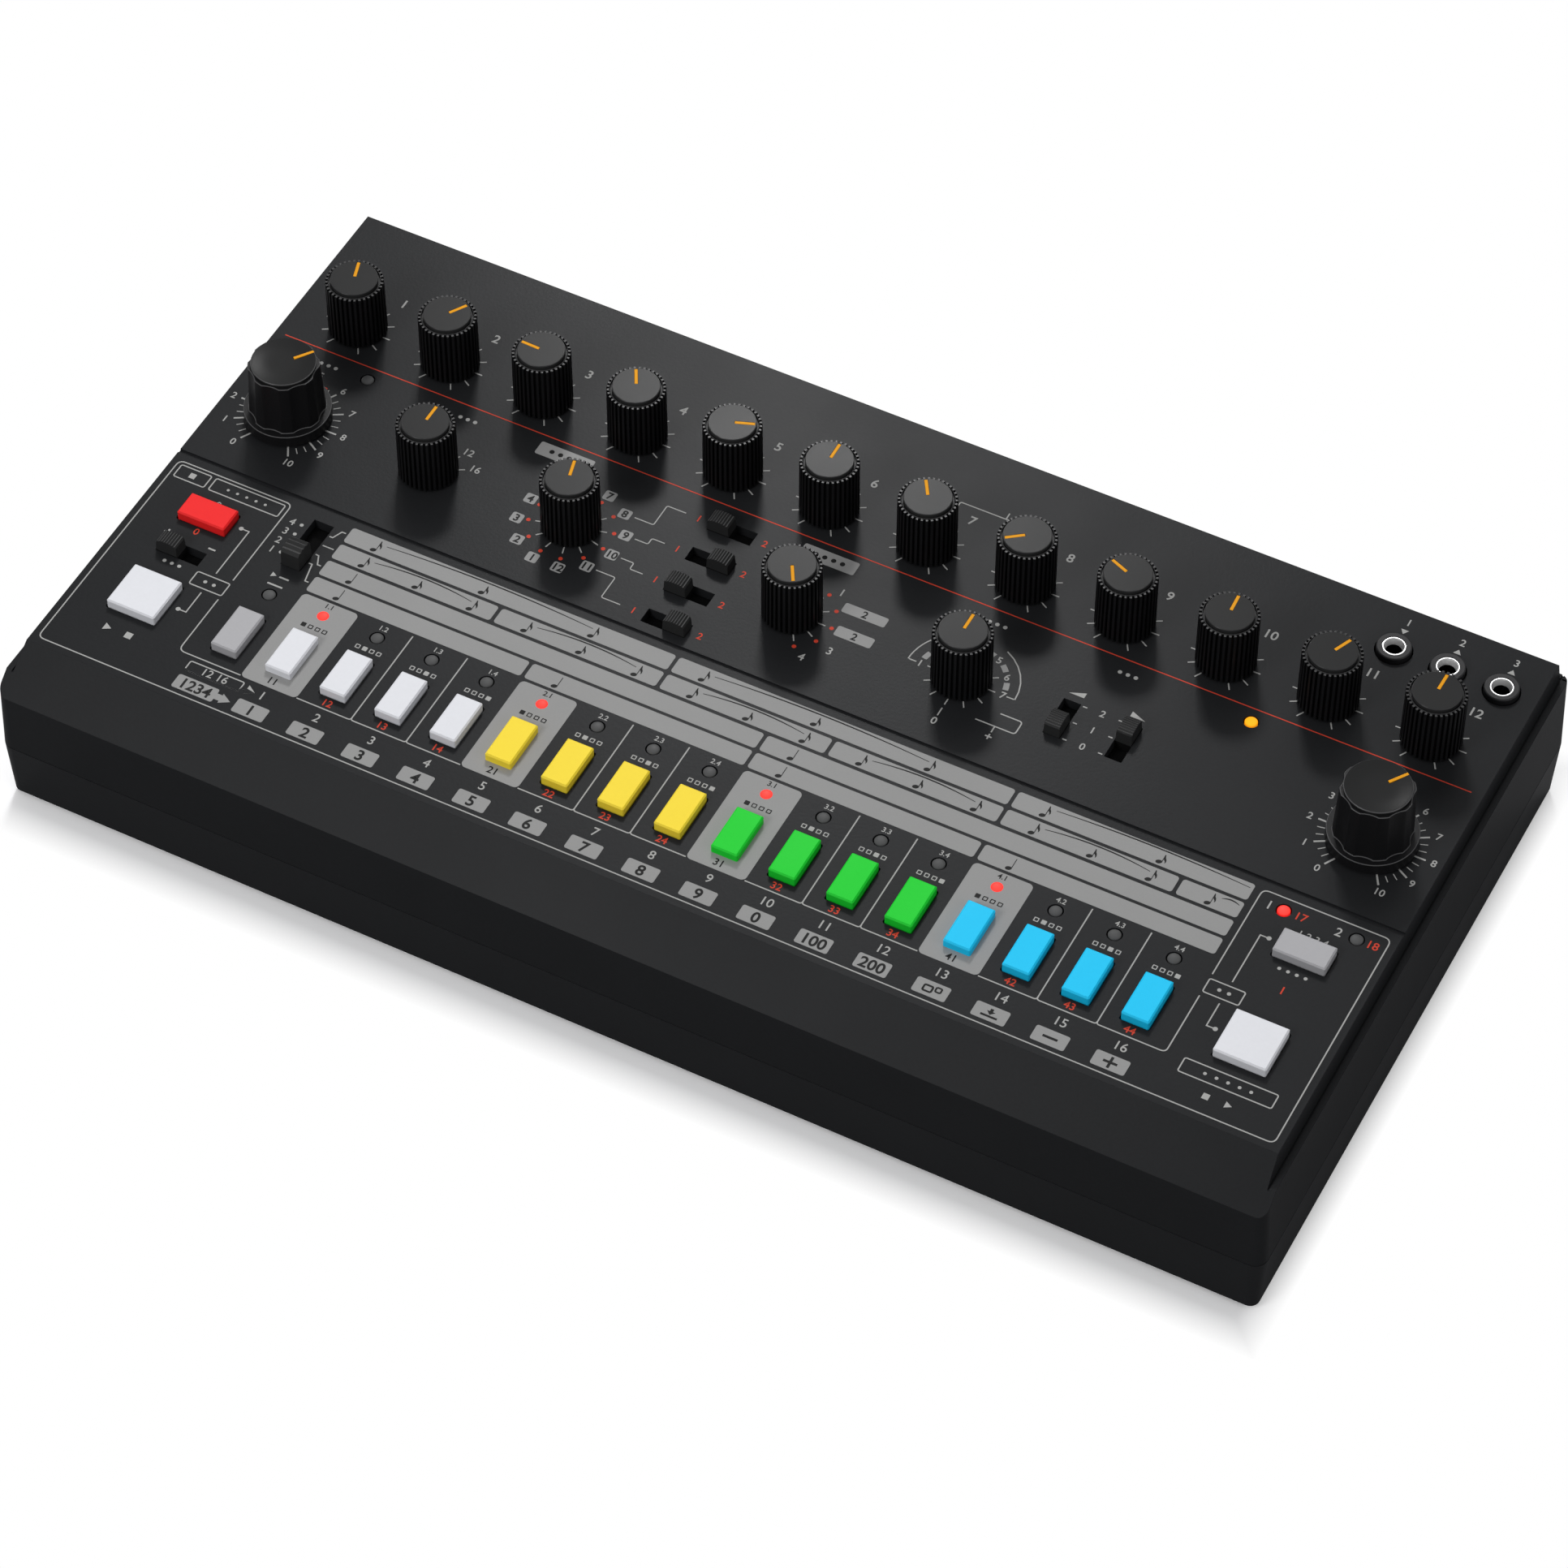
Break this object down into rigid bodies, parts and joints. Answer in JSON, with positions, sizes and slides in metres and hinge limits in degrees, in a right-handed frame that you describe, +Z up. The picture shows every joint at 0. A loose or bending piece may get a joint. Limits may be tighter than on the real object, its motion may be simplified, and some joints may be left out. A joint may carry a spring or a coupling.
{
  "type": "drum machine",
  "caption": "Flat desktop drum machine with a two-part charcoal case, a row of ribbed level knobs, large tempo and volume knobs, slide switches and a row of coloured step keys.",
  "frame": {"origin": "centre of the case in plan, on the plane the rubber feet rest on", "axes": "+X to the right along the step keys, +Y from the player to the back, +Z up out of the control panel"},
  "size_m": [0.3056, 0.1616, 0.06],
  "materials": {
    "upper_shell": "fine-grained charcoal plastic",
    "lower_shell": "fine-grained charcoal plastic",
    "board": "solder mask",
    "dark_component": "moulded",
    "tinned_metal": "tinned",
    "indicator": "clear lens",
    "jack": "black collar, bright ring",
    "socket": "moulded",
    "foot_rubber": "matt",
    "screw_steel": "plated",
    "large_knob": "satin, orange pointer line",
    "small_knob": "ribbed, orange pointer line",
    "switch_cap": "satin",
    "white_key": "satin",
    "grey_key": "satin",
    "red_key": "satin",
    "yellow_key": "satin",
    "green_key": "satin",
    "blue_key": "satin"
  },
  "bodies": {
    "case": {"top_case": "upper_shell", "bottom_case": "lower_shell", "control_board": "board", "connector_board": "board", "rotary_control_bodies": "dark_component", "tact_switches": "dark_component", "slide_switch_bodies": "tinned_metal", "indicator_leds": "indicator", "panel_jacks": "jack", "rear_sockets": "socket", "rubber_feet": "foot_rubber", "screws": "screw_steel"},
    "level_knob_1": {"level_knob_1": "small_knob"},
    "level_knob_2": {"level_knob_2": "small_knob"},
    "level_knob_3": {"level_knob_3": "small_knob"},
    "level_knob_4": {"level_knob_4": "small_knob"},
    "level_knob_5": {"level_knob_5": "small_knob"},
    "level_knob_6": {"level_knob_6": "small_knob"},
    "level_knob_7": {"level_knob_7": "small_knob"},
    "level_knob_8": {"level_knob_8": "small_knob"},
    "level_knob_9": {"level_knob_9": "small_knob"},
    "level_knob_10": {"level_knob_10": "small_knob"},
    "level_knob_11": {"level_knob_11": "small_knob"},
    "level_knob_12": {"level_knob_12": "small_knob"},
    "tempo_knob": {"tempo_knob": "large_knob"},
    "volume_knob": {"volume_knob": "large_knob"},
    "measure_knob": {"measure_knob": "small_knob"},
    "track_knob": {"track_knob": "small_knob"},
    "pattern_mode_knob": {"pattern_mode_knob": "small_knob"},
    "fill_in_knob": {"fill_in_knob": "small_knob"},
    "voice_switch_1": {"voice_switch_1": "switch_cap"},
    "voice_switch_2": {"voice_switch_2": "switch_cap"},
    "voice_switch_3": {"voice_switch_3": "switch_cap"},
    "voice_switch_4": {"voice_switch_4": "switch_cap"},
    "variation_switch": {"variation_switch": "switch_cap"},
    "scale_switch": {"scale_switch": "switch_cap"},
    "fade_in_switch": {"fade_in_switch": "switch_cap"},
    "fade_out_switch": {"fade_out_switch": "switch_cap"},
    "power_switch": {"power_switch": "switch_cap"},
    "step_key_1": {"step_key_1": "white_key"},
    "step_key_2": {"step_key_2": "white_key"},
    "step_key_3": {"step_key_3": "white_key"},
    "step_key_4": {"step_key_4": "white_key"},
    "step_key_5": {"step_key_5": "yellow_key"},
    "step_key_6": {"step_key_6": "yellow_key"},
    "step_key_7": {"step_key_7": "yellow_key"},
    "step_key_8": {"step_key_8": "yellow_key"},
    "step_key_9": {"step_key_9": "green_key"},
    "step_key_10": {"step_key_10": "green_key"},
    "step_key_11": {"step_key_11": "green_key"},
    "step_key_12": {"step_key_12": "green_key"},
    "step_key_13": {"step_key_13": "blue_key"},
    "step_key_14": {"step_key_14": "blue_key"},
    "step_key_15": {"step_key_15": "blue_key"},
    "step_key_16": {"step_key_16": "blue_key"},
    "start_key": {"start_key": "white_key"},
    "cancel_key": {"cancel_key": "grey_key"},
    "clear_key": {"clear_key": "red_key"},
    "pattern_key": {"pattern_key": "grey_key"},
    "write_key": {"write_key": "white_key"}
  },
  "joints": [
    {"name": "tempo_knob_turn", "type": "hinge", "parent": "case", "child": "tempo_knob", "pos_m": [-0.1333, 0.01425, 0.0422], "axis": [0, 0, 1], "range_deg": [-113, 187]},
    {"name": "level_knob_1_turn", "type": "hinge", "parent": "case", "child": "level_knob_1", "pos_m": [-0.13337, 0.0455, 0.0422], "axis": [0, 0, 1], "range_deg": [-168, 132]},
    {"name": "measure_knob_turn", "type": "hinge", "parent": "case", "child": "measure_knob", "pos_m": [-0.0969, 0.01425, 0.0422], "axis": [0, 0, 1], "range_deg": [-60, 60]},
    {"name": "track_knob_turn", "type": "hinge", "parent": "case", "child": "track_knob", "pos_m": [-0.06045, 0.01425, 0.0422], "axis": [0, 0, 1], "range_deg": [-180, 150]},
    {"name": "pattern_mode_knob_turn", "type": "hinge", "parent": "case", "child": "pattern_mode_knob", "pos_m": [-0.0052, 0.01425, 0.0422], "axis": [0, 0, 1], "range_deg": [0, 120]},
    {"name": "fill_in_knob_turn", "type": "hinge", "parent": "case", "child": "fill_in_knob", "pos_m": [0.0362, 0.01425, 0.0422], "axis": [0, 0, 1], "range_deg": [-150, 180]},
    {"name": "voice_switch_1_travel", "type": "slide", "parent": "case", "child": "voice_switch_1", "axis": [1, 0, 0], "range_m": [0, 0.0052]},
    {"name": "variation_switch_travel", "type": "slide", "parent": "case", "child": "variation_switch", "axis": [1, 0, 0], "range_m": [0, 0.0052]},
    {"name": "scale_switch_travel", "type": "slide", "parent": "case", "child": "scale_switch", "axis": [0, 1, 0], "range_m": [0, 0.0093]},
    {"name": "fade_in_switch_travel", "type": "slide", "parent": "case", "child": "fade_in_switch", "axis": [0, 1, 0], "range_m": [0, 0.0052]},
    {"name": "power_switch_travel", "type": "slide", "parent": "case", "child": "power_switch", "axis": [1, 0, 0], "range_m": [-0.0042, 0]},
    {"name": "step_key_1_travel", "type": "slide", "parent": "case", "child": "step_key_1", "axis": [0, 0, -1], "range_m": [0, 0.0009], "stiffness_N_per_m": 800, "springref_m": -0.0006},
    {"name": "start_key_travel", "type": "slide", "parent": "case", "child": "start_key", "axis": [0, 0, -1], "range_m": [0, 0.0009], "stiffness_N_per_m": 800, "springref_m": -0.0006},
    {"name": "clear_key_travel", "type": "slide", "parent": "case", "child": "clear_key", "axis": [0, 0, -1], "range_m": [0, 0.0009], "stiffness_N_per_m": 800, "springref_m": -0.0006},
    {"name": "volume_knob_turn", "type": "hinge", "parent": "case", "child": "volume_knob", "pos_m": [0.1333, 0.01425, 0.0422], "axis": [0, 0, 1], "range_deg": [-115, 185]},
    {"name": "fade_out_switch_travel", "type": "slide", "parent": "case", "child": "fade_out_switch", "axis": [0, 1, 0], "range_m": [-0.0052, 0]},
    {"name": "voice_switch_2_travel", "type": "slide", "parent": "case", "child": "voice_switch_2", "axis": [1, 0, 0], "range_m": [-0.0052, 0]},
    {"name": "cancel_key_travel", "type": "slide", "parent": "case", "child": "cancel_key", "axis": [0, 0, -1], "range_m": [0, 0.0009], "stiffness_N_per_m": 800, "springref_m": -0.0006},
    {"name": "pattern_key_travel", "type": "slide", "parent": "case", "child": "pattern_key", "axis": [0, 0, -1], "range_m": [0, 0.0009], "stiffness_N_per_m": 800, "springref_m": -0.0006},
    {"name": "write_key_travel", "type": "slide", "parent": "case", "child": "write_key", "axis": [0, 0, -1], "range_m": [0, 0.0009], "stiffness_N_per_m": 800, "springref_m": -0.0006},
    {"name": "level_knob_12_turn", "type": "hinge", "parent": "case", "child": "level_knob_12", "pos_m": [0.13337, 0.0455, 0.0422], "axis": [0, 0, 1], "range_deg": [-149, 151]},
    {"name": "level_knob_8_turn", "type": "hinge", "parent": "case", "child": "level_knob_8", "pos_m": [0.03637, 0.0455, 0.0422], "axis": [0, 0, 1], "range_deg": [-277, 23]},
    {"name": "voice_switch_3_travel", "type": "slide", "parent": "case", "child": "voice_switch_3", "axis": [1, 0, 0], "range_m": [0, 0.0052]},
    {"name": "voice_switch_4_travel", "type": "slide", "parent": "case", "child": "voice_switch_4", "axis": [1, 0, 0], "range_m": [-0.0052, 0]},
    {"name": "level_knob_2_turn", "type": "hinge", "parent": "case", "child": "level_knob_2", "pos_m": [-0.10912, 0.0455, 0.0422], "axis": [0, 0, 1], "range_deg": [-118, 182]},
    {"name": "level_knob_3_turn", "type": "hinge", "parent": "case", "child": "level_knob_3", "pos_m": [-0.08488, 0.0455, 0.0422], "axis": [0, 0, 1], "range_deg": [-238, 62]},
    {"name": "level_knob_4_turn", "type": "hinge", "parent": "case", "child": "level_knob_4", "pos_m": [-0.06062, 0.0455, 0.0422], "axis": [0, 0, 1], "range_deg": [-179, 121]},
    {"name": "level_knob_5_turn", "type": "hinge", "parent": "case", "child": "level_knob_5", "pos_m": [-0.03637, 0.0455, 0.0422], "axis": [0, 0, 1], "range_deg": [-81, 219]},
    {"name": "level_knob_6_turn", "type": "hinge", "parent": "case", "child": "level_knob_6", "pos_m": [-0.01213, 0.0455, 0.0422], "axis": [0, 0, 1], "range_deg": [-151, 149]},
    {"name": "level_knob_7_turn", "type": "hinge", "parent": "case", "child": "level_knob_7", "pos_m": [0.01213, 0.0455, 0.0422], "axis": [0, 0, 1], "range_deg": [-182, 118]},
    {"name": "level_knob_9_turn", "type": "hinge", "parent": "case", "child": "level_knob_9", "pos_m": [0.06062, 0.0455, 0.0422], "axis": [0, 0, 1], "range_deg": [-218, 82]},
    {"name": "level_knob_10_turn", "type": "hinge", "parent": "case", "child": "level_knob_10", "pos_m": [0.08488, 0.0455, 0.0422], "axis": [0, 0, 1], "range_deg": [-153, 147]},
    {"name": "level_knob_11_turn", "type": "hinge", "parent": "case", "child": "level_knob_11", "pos_m": [0.10912, 0.0455, 0.0422], "axis": [0, 0, 1], "range_deg": [-126, 174]},
    {"name": "step_key_2_travel", "type": "slide", "parent": "case", "child": "step_key_2", "axis": [0, 0, -1], "range_m": [0, 0.0009], "stiffness_N_per_m": 800, "springref_m": -0.0006},
    {"name": "step_key_3_travel", "type": "slide", "parent": "case", "child": "step_key_3", "axis": [0, 0, -1], "range_m": [0, 0.0009], "stiffness_N_per_m": 800, "springref_m": -0.0006},
    {"name": "step_key_4_travel", "type": "slide", "parent": "case", "child": "step_key_4", "axis": [0, 0, -1], "range_m": [0, 0.0009], "stiffness_N_per_m": 800, "springref_m": -0.0006},
    {"name": "step_key_5_travel", "type": "slide", "parent": "case", "child": "step_key_5", "axis": [0, 0, -1], "range_m": [0, 0.0009], "stiffness_N_per_m": 800, "springref_m": -0.0006},
    {"name": "step_key_6_travel", "type": "slide", "parent": "case", "child": "step_key_6", "axis": [0, 0, -1], "range_m": [0, 0.0009], "stiffness_N_per_m": 800, "springref_m": -0.0006},
    {"name": "step_key_7_travel", "type": "slide", "parent": "case", "child": "step_key_7", "axis": [0, 0, -1], "range_m": [0, 0.0009], "stiffness_N_per_m": 800, "springref_m": -0.0006},
    {"name": "step_key_8_travel", "type": "slide", "parent": "case", "child": "step_key_8", "axis": [0, 0, -1], "range_m": [0, 0.0009], "stiffness_N_per_m": 800, "springref_m": -0.0006},
    {"name": "step_key_9_travel", "type": "slide", "parent": "case", "child": "step_key_9", "axis": [0, 0, -1], "range_m": [0, 0.0009], "stiffness_N_per_m": 800, "springref_m": -0.0006},
    {"name": "step_key_10_travel", "type": "slide", "parent": "case", "child": "step_key_10", "axis": [0, 0, -1], "range_m": [0, 0.0009], "stiffness_N_per_m": 800, "springref_m": -0.0006},
    {"name": "step_key_11_travel", "type": "slide", "parent": "case", "child": "step_key_11", "axis": [0, 0, -1], "range_m": [0, 0.0009], "stiffness_N_per_m": 800, "springref_m": -0.0006},
    {"name": "step_key_12_travel", "type": "slide", "parent": "case", "child": "step_key_12", "axis": [0, 0, -1], "range_m": [0, 0.0009], "stiffness_N_per_m": 800, "springref_m": -0.0006},
    {"name": "step_key_13_travel", "type": "slide", "parent": "case", "child": "step_key_13", "axis": [0, 0, -1], "range_m": [0, 0.0009], "stiffness_N_per_m": 800, "springref_m": -0.0006},
    {"name": "step_key_14_travel", "type": "slide", "parent": "case", "child": "step_key_14", "axis": [0, 0, -1], "range_m": [0, 0.0009], "stiffness_N_per_m": 800, "springref_m": -0.0006},
    {"name": "step_key_15_travel", "type": "slide", "parent": "case", "child": "step_key_15", "axis": [0, 0, -1], "range_m": [0, 0.0009], "stiffness_N_per_m": 800, "springref_m": -0.0006},
    {"name": "step_key_16_travel", "type": "slide", "parent": "case", "child": "step_key_16", "axis": [0, 0, -1], "range_m": [0, 0.0009], "stiffness_N_per_m": 800, "springref_m": -0.0006}
  ]
}
